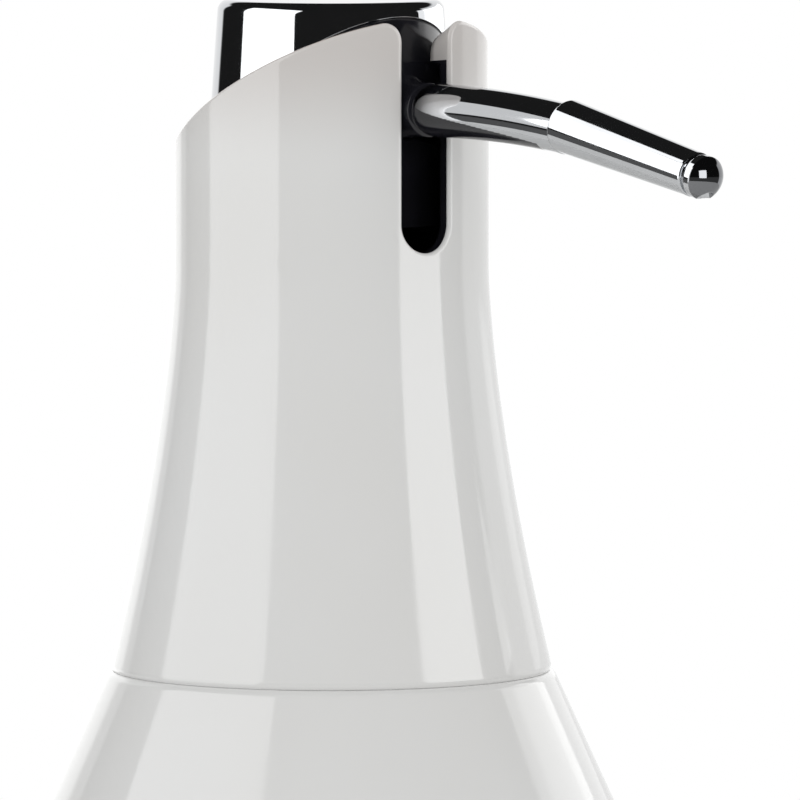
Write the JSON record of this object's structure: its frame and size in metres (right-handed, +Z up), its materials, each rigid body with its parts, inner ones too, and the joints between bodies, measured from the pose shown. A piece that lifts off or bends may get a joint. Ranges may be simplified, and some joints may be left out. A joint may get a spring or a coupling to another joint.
{
  "type": "pump dispenser bottle",
  "caption": "Flask-shaped counter-top pump bottle for liquid detergent, with a slant-topped sleeve, a press button and a long spout.",
  "frame": {"origin": "centre of the flat face of the foot pad that the bottle stands on", "axes": "+Z up along the bottle's axis, +X along the spout"},
  "size_m": [0.1283, 0.1, 0.1864],
  "materials": {
    "white_shell": "glossy moulded white",
    "chromed_plastic": "bright chrome plate",
    "black_gloss": "glossy moulded black",
    "black_closure": "satin moulded black",
    "pump_plastic": "natural satin",
    "soft_plastic": "waxy translucent",
    "grey_rubber": "matt",
    "steel": "bright drawn"
  },
  "bodies": {
    "bottle": {"bottle_body": "white_shell", "base_plate": "white_shell", "foot_pad": "grey_rubber"},
    "neck_seal": {"neck_gasket": "grey_rubber"},
    "top_unit": {"outer_sleeve": "white_shell", "screw_closure": "black_closure", "housing_gasket": "grey_rubber", "pump_housing": "pump_plastic", "pump_nut": "black_closure", "stem_guide": "pump_plastic", "stem_seal": "grey_rubber", "ball_cage": "pump_plastic", "dip_tube": "soft_plastic", "return_spring": "steel"},
    "inlet_valve": {"inlet_ball": "steel"},
    "pump_head": {"press_cap": "chromed_plastic", "actuator_core": "black_gloss", "spout_arm": "chromed_plastic", "spout_seal": "grey_rubber", "nozzle_tube": "chromed_plastic", "nozzle_tip": "chromed_plastic", "pump_stem": "pump_plastic", "piston": "soft_plastic", "piston_retainer": "pump_plastic"},
    "outlet_valve": {"outlet_ball": "steel"}
  },
  "joints": [
    {"name": "top_lift", "type": "slide", "parent": "bottle", "child": "neck_seal", "axis": [0, 0, 1], "range_m": [0, 0.009]},
    {"name": "top_turn", "type": "hinge", "parent": "neck_seal", "child": "top_unit", "pos_m": [0, 0, 0.105], "axis": [0, 0, 1], "range_deg": [0, 540]},
    {"name": "head_press", "type": "slide", "parent": "top_unit", "child": "pump_head", "axis": [0, 0, -1], "range_m": [0, 0.014], "stiffness_N_per_m": 500, "springref_m": -0.01, "deforming": ["return_spring"]},
    {"name": "inlet_ball_lift", "type": "slide", "parent": "top_unit", "child": "inlet_valve", "axis": [0, 0, 1], "range_m": [0, 0.0012]},
    {"name": "outlet_ball_lift", "type": "slide", "parent": "pump_head", "child": "outlet_valve", "axis": [0, 0, 1], "range_m": [0, 0.0012]}
  ],
  "couplings": [
    {"joint": "top_lift", "follows": "top_turn", "m_per_rad": 0.0009549}
  ]
}
